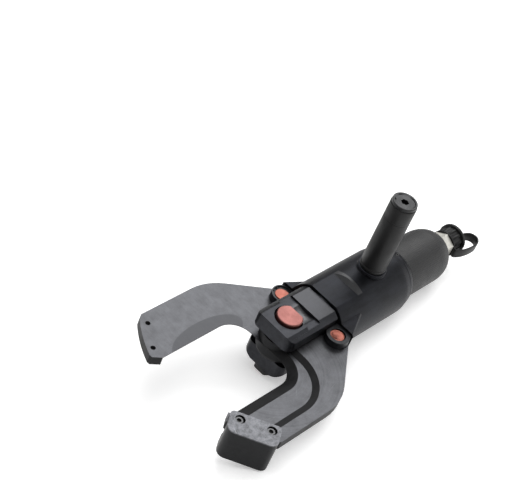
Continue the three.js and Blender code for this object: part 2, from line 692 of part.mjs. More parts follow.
// Moulded rubber strap: a ring round the coupler, a loop, and an eye on the cap's nub.
function makeStrap() {
  const route = new THREE.SplineCurve([
    [-285.6, 17.2], [-286.4, 21.4], [-298, 26.2], [-314, 28.4], [-327, 27.2], [-334.6, 20.6], [-333.4, 12],
    [-325, 6.6], [-316, 5.6], [-311.5, 5.6],
  ].map(toVector));
  const half = 1.1;
  const steps = 20;
  const side = (sign) => Array.from({ length: steps + 1 }, (_, i) => {
    const point = route.getPoint(i / steps);
    const along = route.getTangent(i / steps);
    return [point.x - sign * half * along.y, point.y + sign * half * along.x];
  });
  const band = prism([...side(1), ...side(-1).reverse()], -STRAP_HALF, STRAP_HALF);
  const ring = ringX(-286.8, -284.5, 15.2, 18.4, 24);
  const eye = ringX(-312.4, CAP_REAR - GAP, 3.2, 7.4, 16);
  return union(cut(band, rodX(15.2, -290, -280, 36), box(CAP_REAR - GAP, -290, -9, 9, -9, 9)), ring, eye);
}

// ---- assembly ----
const group = new THREE.Group();

function add(name, solid, material) {
  const geometry = toGeometry(solid).toNonIndexed();
  geometry.translate(-ORIGIN_X, -ORIGIN_Y, -ORIGIN_Z);
  geometry.computeVertexNormals();
  const mesh = new THREE.Mesh(geometry, material);
  mesh.name = name;
  group.add(mesh);
}

const blade = makeBlade();
add('near_blade', blade, forged);
add('far_blade', halfTurn(blade), forged);
add('guide_block', makeGuideBlock(), forged);
GUIDE_SCREWS.forEach((place, i) => add(`guide_screw_${i + 1}`, makeGuideScrew(place), darkSteel));

const perSide = [
  ['link', makeLink(), plateSteel],
  ['tail_pin', makeTailPin(), copperPin],
  ['tail_snap_ring', makeTailRing(), darkSteel],
  ['rear_pin', makeRearPin(), steel],
];
for (const [name, solid, material] of perSide) {
  add(`near_${name}`, solid, material);
  add(`far_${name}`, halfTurn(solid), material);
}

add('fork', makeFork(), plateSteel);
FORK_SCREW_ANGLES.forEach((angle, i) => {
  add(`fork_screw_${i + 1}`, turned(makeForkScrew(), angle), darkSteel);
});
add('pivot_pin', makePivotPin(), copperPin);
add('pivot_nut', makePivotNut(), darkSteel);
add('upper_washer', makeWasher(1), darkSteel);
add('lower_washer', makeWasher(-1), darkSteel);

add('body_housing', makeBody(), blackened);
add('lock_screw', makeSetScrew(), darkSteel);
add('cylinder_barrel', makeBarrel(), steel);
add('grip_sleeve', makeGrip(), gripRubber);
add('piston', makePiston(), steel);
add('piston_seal', ringX(-176.3, -181.7, 22.7, 26.85), seal);
add('wear_ring', ringX(-185.3, -190.7, 24.7, 26.85), bronze);
add('piston_rod', makeRod(), steel);
add('crosshead', makeCrosshead(), steel);
add('return_spring', makeReturnSpring(), darkSteel);

add('handle_base_ring', makeHandleRing(), blackened);
add('handle_core', makeHandleCore(), steel);
add('handle_grip', makeHandleGrip(), rubber);
add('handle_bolt', makeHandleBolt(), steel);

add('hose_adaptor', makeAdaptor(), zinc);
add('coupler_nipple', makeNipple(), steel);
add('coupler_poppet', makePoppet(), bronze);
add('poppet_spring', makePoppetSpring(), steel);
add('dust_cap', makeDustCap(), rubber);
add('dust_cap_strap', makeStrap(), rubber);

export default group;
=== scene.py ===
import math

import bmesh
import bpy
from mathutils import Matrix, Vector

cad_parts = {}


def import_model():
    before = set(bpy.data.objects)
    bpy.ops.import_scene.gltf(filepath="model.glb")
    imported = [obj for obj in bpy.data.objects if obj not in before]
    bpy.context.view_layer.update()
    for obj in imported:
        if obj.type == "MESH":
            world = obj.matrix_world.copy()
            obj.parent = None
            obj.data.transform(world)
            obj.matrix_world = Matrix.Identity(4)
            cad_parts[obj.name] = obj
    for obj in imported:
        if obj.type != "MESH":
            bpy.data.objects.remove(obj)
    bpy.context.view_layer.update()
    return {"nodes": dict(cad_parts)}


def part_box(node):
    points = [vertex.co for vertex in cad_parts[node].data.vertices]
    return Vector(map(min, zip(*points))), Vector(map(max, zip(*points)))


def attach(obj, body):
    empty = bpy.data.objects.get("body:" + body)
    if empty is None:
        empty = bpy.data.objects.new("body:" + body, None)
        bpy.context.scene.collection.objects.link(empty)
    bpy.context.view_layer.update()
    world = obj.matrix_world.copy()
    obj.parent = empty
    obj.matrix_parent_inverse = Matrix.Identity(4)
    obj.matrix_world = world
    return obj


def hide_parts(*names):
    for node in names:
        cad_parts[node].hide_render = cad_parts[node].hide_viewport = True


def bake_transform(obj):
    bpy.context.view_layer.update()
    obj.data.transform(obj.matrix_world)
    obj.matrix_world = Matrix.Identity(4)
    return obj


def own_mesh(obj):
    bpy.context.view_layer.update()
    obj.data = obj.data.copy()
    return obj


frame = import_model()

MM = 0.001
NODES = frame["nodes"]

# ---- places, from the frame ----
PIVOT_X = 47.5
BLADE_OFF_SHEAR = 0.15
pin_low, pin_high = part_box("pivot_pin")
blade_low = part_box("near_blade")[0]
ORIGIN = Vector((
    (pin_low.x + pin_high.x) / 2 - PIVOT_X * MM,
    (pin_low.y + pin_high.y) / 2,
    blade_low.z - BLADE_OFF_SHEAR * MM,
))
TO_FRAME = Matrix.Translation(ORIGIN) @ Matrix.Scale(MM, 4)


def span(node, axis):
    """The lowest and highest place of a CAD node along one axis, in the tool's millimetres."""
    low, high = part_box(node)
    return tuple((corner[axis] - ORIGIN[axis]) / MM for corner in (low, high))


def in_frame(x, y, z=0):
    """A place in the tool's millimetres, as the frame's millimetres."""
    return tuple(ORIGIN[k] / MM + offset for k, offset in enumerate((x, y, z)))


def in_tool(face):
    """The middle of a face in the tool's millimetres."""
    return (face.center - ORIGIN) / MM


# ---- outlines ----
def arc(x, y, r, start, end, steps):
    """Points on an arc, angles in degrees, both ends included."""
    turns = [math.radians(start + (end - start) * i / steps) for i in range(steps + 1)]
    return [(x + r * math.cos(t), y + r * math.sin(t)) for t in turns]


def rounded(points, radius, steps=4, closed=True):
    """The same outline with its corners rounded, each as far as its two sides allow."""
    result = []
    count = len(points)
    for i, point in enumerate(points):
        corner = Vector(point[:2])
        if not closed and i in (0, count - 1):
            result.append(tuple(corner))
            continue
        before = Vector(points[i - 1][:2]) - corner
        after = Vector(points[(i + 1) % count][:2]) - corner
        r = point[2] if len(point) > 2 else radius
        half = before.angle(after) / 2
        if r <= 0 or half > math.radians(85):
            result.append(tuple(corner))
            continue
        reach = min(r / math.tan(half), 0.48 * before.length, 0.48 * after.length)
        r = reach * math.tan(half)
        a, b = before.normalized(), after.normalized()
        centre = corner + (a + b).normalized() * (r / math.sin(half))
        first = corner + a * reach - centre
        turn = math.copysign(math.pi - 2 * half, a.cross(b)) * -1
        for k in range(steps + 1):
            ray = first.copy()
            ray.rotate(Matrix.Rotation(turn * k / steps, 2))
            result.append(tuple(centre + ray))
    return result


# ---- meshes ----
def to_object(name, bm):
    """A smooth shaded object from a mesh in the tool's millimetres, moved into the frame."""
    bmesh.ops.recalc_face_normals(bm, faces=bm.faces)
    bm.transform(TO_FRAME)
    mesh = bpy.data.meshes.new(name)
    bm.to_mesh(mesh)
    bm.free()
    mesh.shade_smooth()
    piece = bpy.data.objects.new(name, mesh)
    bpy.context.scene.collection.objects.link(piece)
    return piece


def revolve(profile, axis="X", centre=(0, 0, 0), segments=128, swell=None):
    """A closed solid from (place along the axis, radius) points. A profile may end on the axis."""
    bm = bmesh.new()
    rows = []
    for along, radius in profile:
        if radius < 1e-6:
            rows.append([bm.verts.new(axle_point(axis, centre, along, 0, 0))])
            continue
        row = []
        for k in range(segments):
            turn = 2 * math.pi * k / segments
            r = swell(along, radius, turn) if swell else radius
            row.append(bm.verts.new(axle_point(axis, centre, along, r, turn)))
        rows.append(row)
    pairs = list(zip(rows, rows[1:]))
    if len(rows[0]) > 1:
        pairs.append((rows[-1], rows[0]))
    for low, high in pairs:
        for k in range(segments):
            n = (k + 1) % segments
            corners = [low[k % len(low)], low[n % len(low)], high[n % len(high)], high[k % len(high)]]
            face = list(dict.fromkeys(corners))
            if len(face) > 2:
                bm.faces.new(face)
    return bm


def axle_point(axis, centre, along, r, turn):
    """A point at a radius and a turn round the X or the Z axis."""
    c, s = r * math.cos(turn), r * math.sin(turn)
    if axis == "X":
        return (along, centre[1] + c, centre[2] + s)
    return (centre[0] + c, centre[1] + s, along)


def rod(axis, x, y, r, low, high, segments=96):
    """A round bar."""
    return revolve([(low, 0), (low, r), (high, r), (high, 0)], axis, (x, y, 0), segments)


def skin(bm, rows):
    """Joins rows with the same number of points side by side, and closes both ends."""
    count = len(rows[0])
    for low, high in zip(rows, rows[1:]):
        for k in range(count):
            n = (k + 1) % count
            bm.faces.new((low[k], low[n], high[n], high[k]))
    bm.faces.new(rows[0][::-1])
    bm.faces.new(rows[-1])


def loft(layers):
    """A solid from outlines with the same number of points at rising heights."""
    bm = bmesh.new()
    skin(bm, [[bm.verts.new((p[0], p[1], z)) for p in outline] for outline, z in layers])
    return bm


def extrude(outline, low, high):
    """A prism from an outline in the plane of the blades."""
    return loft([(outline, low), (outline, high)])


def block(x0, x1, y0, y1, z0, z1):
    """A box between two corners."""
    return extrude([(x0, y0), (x1, y0), (x1, y1), (x0, y1)], z0, z1)


def hex_socket(x, y, corner_r, low, high):
    """The hole for a hexagon key."""
    return extrude(arc(x, y, corner_r, 0, 300, 5), low, high)


def prism_y(outline, y0, y1):
    """A prism from an (x, z) outline, along y."""
    bm = loft([(outline, -y1), (outline, -y0)])
    bm.transform(Matrix.Rotation(math.pi / 2, 4, "X"))
    return bm


def half_turn(bm):
    """Turned half a turn about the tool's length."""
    copy = bm.copy()
    copy.transform(Matrix.Rotation(math.pi, 4, "X"))
    return copy


def rolled(bm, degrees):
    """Turned about the tool's length."""
    bm.transform(Matrix.Rotation(math.radians(degrees), 4, "X"))
    return bm


def boolean(whole, operation, bm):
    """Joins, cuts or intersects an object with a solid."""
    tool = to_object("tool", bm)
    step = whole.modifiers.new("step", "BOOLEAN")
    step.object = tool
    step.operation = operation
    step.solver = "EXACT"
    apply_modifiers(whole)
    bpy.data.objects.remove(tool)


def combine(name, base, join=(), cut=()):
    """Joins and cuts solids, and returns the object."""
    whole = to_object(name, base)
    for bm in join:
        boolean(whole, "UNION", bm)
    for bm in cut:
        boolean(whole, "DIFFERENCE", bm)
    return whole


def common(first, second):
    """The part that two solids share, as a mesh in the tool's millimetres."""
    whole = to_object("common", first)
    boolean(whole, "INTERSECT", second)
    shared = bmesh.new()
    shared.from_mesh(whole.data)
    shared.transform(TO_FRAME.inverted())
    bpy.data.objects.remove(whole)
    return shared


def apply_modifiers(piece):
    """Bakes a piece's modifiers into its mesh."""
    bpy.context.view_layer.update()
    shaped = piece.evaluated_get(bpy.context.evaluated_depsgraph_get())
    mesh = bpy.data.meshes.new_from_object(shaped)
    piece.modifiers.clear()
    piece.data = mesh


def soften(piece, width, segments=2, angle=28, crease=None):
    """Rounds every sharp edge, and shades flat faces flat and round faces round.

    An edge between crease and angle stays crisp without being rounded.
    """
    bevel = piece.modifiers.new("edges", "BEVEL")
    bevel.width = width * MM
    bevel.segments = segments
    bevel.limit_method = "ANGLE"
    bevel.angle_limit = math.radians(angle)
    bevel.use_clamp_overlap = True
    bevel.miter_outer = "MITER_ARC"
    shading = piece.modifiers.new("shading", "WEIGHTED_NORMAL")
    shading.mode = "FACE_AREA"
    shading.weight = 60
    if crease:
        piece.data.set_sharp_from_angle(angle=math.radians(crease))
        shading.keep_sharp = True


def clean_planes(piece):
    """Merges the small triangles of flat faces."""
    weld = piece.modifiers.new("weld", "WELD")
    weld.merge_threshold = 2e-5
    planes = piece.modifiers.new("planes", "DECIMATE")
    planes.decimate_type = "DISSOLVE"
    planes.angle_limit = math.radians(0.3)


# ---- materials ----
class Look:
    """A node material whose textures stay put on the piece. Scales are in millimetres."""

    def __init__(self, name, metallic=0.0, specular=0.5, anisotropic=0.0):
        self.material = bpy.data.materials.new(name)
        self.material.use_nodes = True
        self.tree = self.material.node_tree
        self.shader = self.tree.nodes["Principled BSDF"]
        self.set(self.shader, {
            "Metallic": metallic, "Specular IOR Level": specular, "Anisotropic": anisotropic,
        })
        place = self.add("ShaderNodeTexCoord").outputs["Object"]
        scaled = self.add("ShaderNodeVectorMath", {0: place}, operation="SCALE")
        scaled.inputs["Scale"].default_value = 1 / MM
        self.place = scaled.outputs[0]

    def set(self, node, values):
        """Gives a node's inputs their values, or links them to other nodes."""
        for key, value in values.items():
            if isinstance(value, bpy.types.NodeSocket):
                self.tree.links.new(value, node.inputs[key])
            else:
                node.inputs[key].default_value = value

    def add(self, kind, values=None, **settings):
        """A new node with its settings and inputs."""
        node = self.tree.nodes.new(kind)
        for key, value in settings.items():
            setattr(node, key, value)
        self.set(node, values or {})
        return node

    def vector(self, operation, a, b):
        """A vector worked out from two others."""
        return self.add("ShaderNodeVectorMath", {0: a, 1: b}, operation=operation).outputs[0]

    def stretched(self, x, y, z):
        """The place with each direction scaled, for streaks."""
        return self.vector("MULTIPLY", self.place, (x, y, z))

    def noise(self, size, detail=4, rough=0.55, place=None, low=0.35, high=0.65):
        """Noise with features of this size, spread to run from 0 to 1."""
        texture = self.add("ShaderNodeTexNoise", {
            "Vector": place or self.place, "Scale": 1 / size, "Detail": detail, "Roughness": rough,
        })
        return self.remap(texture.outputs["Fac"], low, high)

    def remap(self, value, low, high, to_low=0.0, to_high=1.0):
        """A value moved from one range to another, and held inside it."""
        return self.add("ShaderNodeMapRange", {
            "Value": value, "From Min": low, "From Max": high, "To Min": to_low, "To Max": to_high,
        }).outputs["Result"]

    def math(self, operation, a, b=0.0):
        """A number worked out from one or two others."""
        return self.add("ShaderNodeMath", {0: a, 1: b}, operation=operation).outputs[0]

    def blend(self, a, share_a, b, share_b):
        """The sum of two values, each times its share."""
        return self.math("ADD", self.math("MULTIPLY", a, share_a), self.math("MULTIPLY", b, share_b))

    def mix(self, factor, a, b):
        """A colour between two others."""
        node = self.add("ShaderNodeMix", {0: factor}, data_type="RGBA")
        for socket, value in ((6, a), (7, b)):
            if isinstance(value, bpy.types.NodeSocket):
                self.tree.links.new(value, node.inputs[socket])
            else:
                node.inputs[socket].default_value = (*value[:3], 1)
        return node.outputs[2]

    def split(self):
        """The place as x, y, z in the tool's own millimetres."""
        centred = self.vector("SUBTRACT", self.place, in_frame(0, 0))
        parts = self.add("ShaderNodeSeparateXYZ", {0: centred})
        return [parts.outputs[k] for k in range(3)]

    def rings(self, centre, spacing):
        """Turned marks round a vertical axis through a place."""
        flat = self.vector("MULTIPLY", self.vector("SUBTRACT", self.place, centre), (1, 1, 0))
        radius = self.add("ShaderNodeVectorMath", {0: flat}, operation="LENGTH").outputs["Value"]
        texture = self.add("ShaderNodeTexNoise", {
            "W": radius, "Scale": 1 / spacing, "Detail": 3,
        }, noise_dimensions="1D")
        return self.remap(texture.outputs["Fac"], 0.3, 0.7)

    def finish(self, colour, roughness, bumps=()):
        """Sets the colour, the roughness and the relief: bumps are (height 0 to 1, depth in mm)."""
        self.set(self.shader, {"Base Color": colour, "Roughness": roughness})
        normal = None
        for height, depth in bumps:
            values = {"Height": height, "Distance": depth * MM, "Strength": 1.0}
            if normal:
                values["Normal"] = normal
            normal = self.add("ShaderNodeBump", values).outputs["Normal"]
        if normal:
            self.set(self.shader, {"Normal": normal})
        return self.material


GRINDING_PITCH = 2.6
SCRATCH_LENGTH = 34
TURNING_PITCH = 0.6
GRIP_TEETH = 88


def steel(name, dark, light, roughness=(0.35, 0.5), blotch=26, grain=0.9, streak=(0.02, 1, 1), metallic=0.85,
          relief=0.012, scratches=0.4, specular=0.5, mark=None, ground_round=None):
    """Bare or coated steel: soft blotches, fine grinding streaks, a few scratches.

    The streaks run straight, or round a place given as ground_round. mark(look) may return a mask and a
    factor of the dark colour, for a part of the surface that was worked differently.
    """
    look = Look(name, metallic=metallic, specular=specular)
    blotches = look.noise(blotch, detail=5, rough=0.6)
    if ground_round:
        streaks = look.rings(ground_round, GRINDING_PITCH)
    else:
        streaks = look.noise(grain, detail=3, place=look.stretched(*streak), low=0.25, high=0.75)
    speckle = look.noise(grain * 0.8, detail=2)
    shade = look.math("ADD", look.blend(blotches, 0.55, streaks, 0.25), look.math("MULTIPLY", speckle, 0.2))
    colour = look.mix(shade, dark, light)
    cells = look.add("ShaderNodeTexVoronoi", {
        "Vector": look.stretched(0.5, 1.4, 1), "Scale": 1 / SCRATCH_LENGTH, "Randomness": 1.0,
    }, feature="DISTANCE_TO_EDGE").outputs["Distance"]
    lines = look.remap(cells, 0.0, 0.006, 1.0, 0.0)
    broken = look.math("MULTIPLY", lines, look.noise(17, low=0.5, high=0.62))
    bright = tuple(min(1.0, 1.9 * c + 0.05) for c in light)
    colour = look.mix(look.math("MULTIPLY", broken, scratches), colour, bright)
    if mark:
        mask, factor = mark(look)
        colour = look.mix(mask, colour, tuple(c * factor for c in dark))
    rough = look.remap(look.blend(blotches, 0.6, speckle, 0.4), 0, 1, *roughness)
    return look.finish(colour, rough, [(streaks, relief), (speckle, relief)])


def turned(name, centre, dark, light, roughness=(0.32, 0.42)):
    """Metal with the marks of the lathe round its centre, which stretch its highlights."""
    look = Look(name, metallic=0.85, anisotropic=0.85)
    rings = look.rings(centre, TURNING_PITCH)
    blotches = look.noise(7, detail=3)
    tangent = look.vector("CROSS_PRODUCT", look.vector("SUBTRACT", look.place, centre), (0, 0, 1))
    round_axis = look.add("ShaderNodeVectorMath", {0: tangent}, operation="NORMALIZE")
    look.set(look.shader, {"Tangent": round_axis.outputs[0]})
    shade = look.blend(rings, 0.6, blotches, 0.4)
    return look.finish(look.mix(shade, dark, light), look.remap(shade, 0, 1, *roughness), [(rings, 0.002)])


def satin_black(name, dark, light, roughness=(0.36, 0.52), metallic=0.35, pores=0.35, relief=0.02, mark=None):
    """Blackened steel: fine pores, faint smears along the tool, cloudy sheen.

    mark(look) may return a mask and a colour for a part of the surface that was worked differently.
    """
    look = Look(name, metallic=metallic, specular=0.5)
    clouds = look.noise(32, detail=5, rough=0.6)
    smears = look.noise(7, detail=4, place=look.stretched(0.12, 1, 1))
    fine = look.noise(pores, detail=3)
    shade = look.blend(clouds, 0.6, smears, 0.4)
    rough = look.remap(look.math("ADD", shade, look.math("MULTIPLY", fine, 0.4)), 0, 1.4, *roughness)
    colour = look.mix(shade, dark, light)
    if mark:
        mask, worked = mark(look)
        colour = look.mix(mask, colour, worked)
    return look.finish(colour, rough, [(fine, relief), (smears, 0.02)])


def moulded(name, dark, light, roughness=(0.55, 0.7), texture=0.7, relief=0.05, specular=0.4, knurled=False):
    """Rubber or plastic with a fine moulded texture, or small diamonds round the tool, and dusty patches. The
    texture's hollows are painted darker than its raised tips, as painted shade.
    """
    look = Look(name, specular=specular)
    if knurled:
        x, y, z = look.split()
        turn = look.math("MULTIPLY", look.math("ARCTAN2", z, y), GRIP_TEETH / 2)
        along = look.math("MULTIPLY", x, math.pi / texture)
        waves = [look.math("SINE", look.math(side, along, turn)) for side in ("ADD", "SUBTRACT")]
        cells = look.remap(look.math("MULTIPLY", *waves), -1, 1, 0.2, 0.7)
    else:
        cells = look.add("ShaderNodeTexVoronoi", {
            "Vector": look.place, "Scale": 1 / texture, "Randomness": 0.9,
        }, feature="F1").outputs["Distance"]
    dust = look.noise(24, detail=6, rough=0.65)
    fine = look.noise(texture * 0.6, detail=2)
    colour = look.mix(look.math("MULTIPLY", dust, 0.8), dark, light)
    # Raised tips lighter than the hollows between them: painted shade in the hollows.
    tips = look.math("MULTIPLY", look.remap(cells, 0.2, 0.7), 0.8 if knurled else 0.35)
    colour = look.mix(tips, colour, light)
    return look.finish(colour, look.remap(dust, 0, 1, *roughness), [(cells, relief), (fine, relief * 0.4)])


def grey(value, blue=1.0):
    """A linear grey from a display value out of 255, with a touch of blue."""
    linear = (value / 255) ** 2.2
    return (linear, linear * (1 + 0.01 * blue), linear * (1 + 0.05 * blue))


# ---- placing pieces ----
def place(piece, body, material, nodes=(), slot=None):
    """Puts a finished piece on its body, with its material, in place of CAD nodes."""
    piece.data.materials.clear()
    piece.data.materials.append(material)
    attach(piece, body)
    if nodes:
        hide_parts(*nodes)
    return piece


def refine(node, material, edge=0.5, segments=2, angle=28):
    """Keeps a CAD node: clean flat faces, rounded edges and its own material."""
    piece = NODES[node]
    if "custom_normal" in piece.data.attributes:
        piece.data.attributes.remove(piece.data.attributes["custom_normal"])
    piece.data.shade_smooth()
    piece.data.materials.clear()
    piece.data.materials.append(material)
    clean_planes(piece)
    soften(piece, edge, segments, angle)


def darken_flanks(node, material):
    """Gives every face that isn't level its own, darker material: painted shade on the bevels, steps and
    walls that turn from the light.
    """
    mesh = NODES[node].data
    mesh.materials.append(material)
    for face in mesh.polygons:
        face.material_index = 0 if abs(face.normal.z) > 0.99 else 1


# ---- blades, guide block, links and their pins ----
TAIL_Y = 44
TAIL_PIN_R = 9.4
TAIL_GROOVE_R = 8.2
TAIL_RING_R = 12.3
RING_EYE_R = 0.8
RING_EYE_X = 4.6
RING_EYE_Y = 10.2
GUIDE_TOP = 18.5
GUIDE_SCREWS = ((175.5, 99.5), (196.0, 68.4))
GUIDE_HEAD_HEIGHT = 3
GUIDE_HEAD_R = 5
GUIDE_SHANK_R = 2.9
CRESCENT_MIDDLE = (123, 48)
CRESCENT_HALF_SIZE = (56, 22)
THROAT = in_frame(104, 27.5)


def ground_crescent(look):
    """The shear face is ground once more inside a flat ellipse beside the edge."""
    x, y, _ = look.split()
    squares = []
    from_axis = look.math("ABSOLUTE", y)
    for value, middle, size in zip((x, from_axis), CRESCENT_MIDDLE, CRESCENT_HALF_SIZE):
        share = look.math("DIVIDE", look.math("SUBTRACT", value, middle), size)
        squares.append(look.math("MULTIPLY", share, share))
    reach = look.math("ADD", *squares)
    return look.math("MULTIPLY", look.remap(reach, 1.03, 0.97), 0.7), 0.84


def rubbed_top_shaded_sides(look):
    """The block's top and upper edges are rubbed bare; below them its sides are painted much darker, partly
    their dark coating and partly painted shade on faces turned from the light.
    """
    z = look.split()[2]
    low = look.remap(z, GUIDE_TOP - 0.5, GUIDE_TOP - 2.2)
    return look.math("MULTIPLY", low, 0.95), 0.16


BLADE_STEEL = {
    "dark": grey(61, 2), "light": grey(87, 2), "roughness": (0.36, 0.46), "blotch": 15, "grain": 1.4,
    "relief": 0.005, "scratches": 0.2,
}
BLADE = steel("blade steel", **BLADE_STEEL, ground_round=THROAT)
FAR_BLADE = steel("far blade steel", **BLADE_STEEL, streak=(0.5, 0.08, 1), mark=ground_crescent)
# Dark colour for the blades' bevels, steps and side walls: painted shade for faces turned from the light.
SHADED_FLANK = steel("blade flank painted shade", grey(22, 2), grey(38, 2), roughness=(0.46, 0.6), blotch=12, metallic=0.4,
              streak=(0.3, 1, 1), relief=0.01, scratches=0.25, specular=0.25)
# Below its top the guide block is painted almost black: painted shade on its sides, over their dark coating.
BLOCK = steel("guide block coating and side shade", grey(54, 2), grey(118, 2), roughness=(0.36, 0.5), blotch=6,
              metallic=0.75, streak=(0.3, 1, 1), relief=0.008, scratches=0.5, mark=rubbed_top_shaded_sides)
LINK = steel("link steel", grey(34, 3), grey(54, 3), roughness=(0.36, 0.52), blotch=12, metallic=0.6,
             relief=0.02, scratches=0.2)
SCREW = satin_black("screw black", grey(26), grey(48), roughness=(0.3, 0.45), metallic=0.6)
BRIGHT_SCREW = steel("rubbed screw", grey(54), grey(92), roughness=(0.3, 0.42), blotch=3, metallic=0.8)
RING = satin_black("snap ring", grey(24), grey(44), roughness=(0.3, 0.45), metallic=0.6)
COPPER = ((0.2, 0.062, 0.043), (0.3, 0.105, 0.078))
WORN_COPPER = ((0.16, 0.06, 0.05), (0.27, 0.11, 0.1))


def copper(name, x, y, shades=COPPER):
    """Copper plate turned round a pin's own axis."""
    return turned(name, in_frame(x, y), *shades)


def tail_pin(side, sign):
    """Pin through a blade's tail: the far one is turned half a turn, so its other end looks up."""
    y = sign * TAIL_Y
    low, high = span(f"{side}_tail_pin", 2)
    groove_low, groove_high = low + 1.5, low + 3.2
    outline = rounded([
        (low, 0, 0), (low, TAIL_PIN_R, 0.7), (groove_low, TAIL_PIN_R, 0.2), (groove_low, TAIL_GROOVE_R, 0),
        (groove_high, TAIL_GROOVE_R, 0), (groove_high, TAIL_PIN_R, 0.2), (high, TAIL_PIN_R, 0.9),
        (high, 6.8, 0), (high - 0.15, 6.5, 0), (high - 0.15, 0, 0),
    ], 0.2, closed=False)
    if sign < 0:
        outline = [(low + high - along, r) for along, r in outline]
    bm = revolve(outline, "Z", (0, y, 0), 96)
    place(to_object(f"{side}_tail_pin_fine", bm), f"{side}_blade_body", copper(f"{side} pin copper", 0, y),
          [f"{side}_tail_pin"], "copper_pin")


def tail_ring(side, sign):
    """Snap ring with a gap and two eyes for the pliers, on the outer side of its pin."""
    y = sign * TAIL_Y
    low, high = span(f"{side}_tail_snap_ring", 2)
    bore_r = TAIL_GROOVE_R + 0.3
    section = [(low, bore_r), (low, TAIL_RING_R), (high, TAIL_RING_R), (high, bore_r)]
    ring = revolve(rounded(section, 0.25), "Z", (0, y, 0), 96)
    gap = block(-2.4, 2.4, *sorted((y + sign * 4, y + sign * 20)), low - 1, high + 1)
    eye_y = y + sign * RING_EYE_Y
    eyes = [rod("Z", x, eye_y, RING_EYE_R, low - 1, high + 1, 24) for x in (-RING_EYE_X, RING_EYE_X)]
    piece = combine(f"{side}_snap_ring_fine", ring, cut=[gap, *eyes])
    place(piece, f"{side}_blade_body", RING, [f"{side}_tail_snap_ring"], "snap_ring")


def guide_screw(number, x, y):
    """Socket head screw: the socket and the head's edge stay black, the head's top is rubbed bright."""
    low, high = span(f"guide_screw_{number}", 2)
    head = high - GUIDE_HEAD_HEIGHT
    outline = rounded([
        (low, 0, 0), (low, GUIDE_SHANK_R, 0.6), (head, GUIDE_SHANK_R, 0), (head, GUIDE_HEAD_R, 0.2),
        (high, GUIDE_HEAD_R, 0.6), (high, 0, 0),
    ], 0.2, closed=False)
    screw = revolve(outline, "Z", (x, y, 0), 64)
    piece = combine(f"guide_screw_{number}_fine", screw, cut=[hex_socket(x, y, 2.9, high - 2.4, high + 1)])
    soften(piece, 0.12)
    place(piece, "near_blade_body", BRIGHT_SCREW, [f"guide_screw_{number}"], "socket_screw")
    piece.data.materials.append(SCREW)
    for face in piece.data.polygons:
        at = in_tool(face)
        if math.hypot(at.x - x, at.y - y) > 4.7 or at.z < high - 0.3:
            face.material_index = 1


for side, sign in (("near", 1), ("far", -1)):
    refine(f"{side}_blade", BLADE if sign > 0 else FAR_BLADE, edge=0.35, segments=2, angle=22)
    darken_flanks(f"{side}_blade", SHADED_FLANK)
    refine(f"{side}_link", LINK, edge=0.7, segments=3)
    tail_pin(side, sign)
    tail_ring(side, sign)
refine("guide_block", BLOCK, edge=1.3, segments=3)
for number, spot in enumerate(GUIDE_SCREWS, 1):
    guide_screw(number, *spot)

# ---- fork, pivot pin and nut ----
FRONT_X = -14.5
FORK_SCREW_X = -45
FORK_SCREW_TURNS = (-40, 40)
FORK_TOP = 37
FORK_BOTTOM = -40
HOLLOW_BACK_X = 18.2
HOLLOW_FRONT_X = 39
PIN_R = 12.6
PIN_THREAD_R = 11
PIN_HEAD_R = 16.4
PIN_HEAD_LOW = 29.3
PIN_FLAT_X = 36
NUT_R = 16.4
NUT_BORE_R = 11.3
NUT_HALF_WIDTH = 14.3


def hollow_highlight_and_land(look):
    """The hollow milled beside the pin head is painted bright along its middle, a painted highlight where its
    curve catches the light; the raised land behind it is matte and a little lighter.
    """
    x, y, z = look.split()
    after_back = look.remap(x, HOLLOW_BACK_X + 0.1, HOLLOW_BACK_X + 0.7)
    before_front = look.remap(x, HOLLOW_FRONT_X - 0.1, HOLLOW_FRONT_X - 0.7)
    from_middle = look.math("ABSOLUTE", look.math("SUBTRACT", y, 1))
    between = look.math("MULTIPLY", after_back, before_front)
    # Painted highlight: brightest along the middle of the hollow's curve.
    inside = look.math("MULTIPLY", between, look.remap(from_middle, 16, 6))
    hollow = look.math("MULTIPLY", inside, look.remap(z, 30, 30.6))
    behind = look.remap(x, HOLLOW_BACK_X, HOLLOW_BACK_X - 0.3)
    land = look.math("MULTIPLY", behind, look.remap(z, FORK_TOP - 0.5, FORK_TOP - 0.1, 0.0, 0.28))
    return look.math("MAXIMUM", hollow, land), grey(92)


FORK = satin_black("fork oxide", grey(34, 4), grey(56, 4), roughness=(0.34, 0.48), metallic=0.85,
                   mark=hollow_highlight_and_land)
NUT = satin_black("nut black", grey(26), grey(46), metallic=0.6)
BRONZE = steel("bronze", (0.30, 0.17, 0.06), (0.52, 0.33, 0.14), roughness=(0.3, 0.45), blotch=9, grain=0.6)


def pivot_pin():
    """Headed pin with one flat on its head, against the hollow's edge."""
    low, high = span("pivot_pin", 2)
    outline = rounded([
        (low, 0, 0), (low, PIN_THREAD_R, 0.9), (FORK_BOTTOM, PIN_THREAD_R, 0), (FORK_BOTTOM, PIN_R, 0),
        (PIN_HEAD_LOW, PIN_R, 0), (PIN_HEAD_LOW, PIN_HEAD_R, 0.3), (high, PIN_HEAD_R, 1.5), (high, 0, 0),
    ], 0.3, closed=False)
    pin = revolve(outline, "Z", (PIVOT_X, 0, 0), 144)
    flat = block(0, PIN_FLAT_X, -40, 40, PIN_HEAD_LOW - 0.1, 60)
    piece = combine("pivot_pin_fine", pin, cut=[flat])
    soften(piece, 0.3)
    place(piece, "housing", copper("pivot copper", PIVOT_X, 0, WORN_COPPER), ["pivot_pin"], "copper_pin")


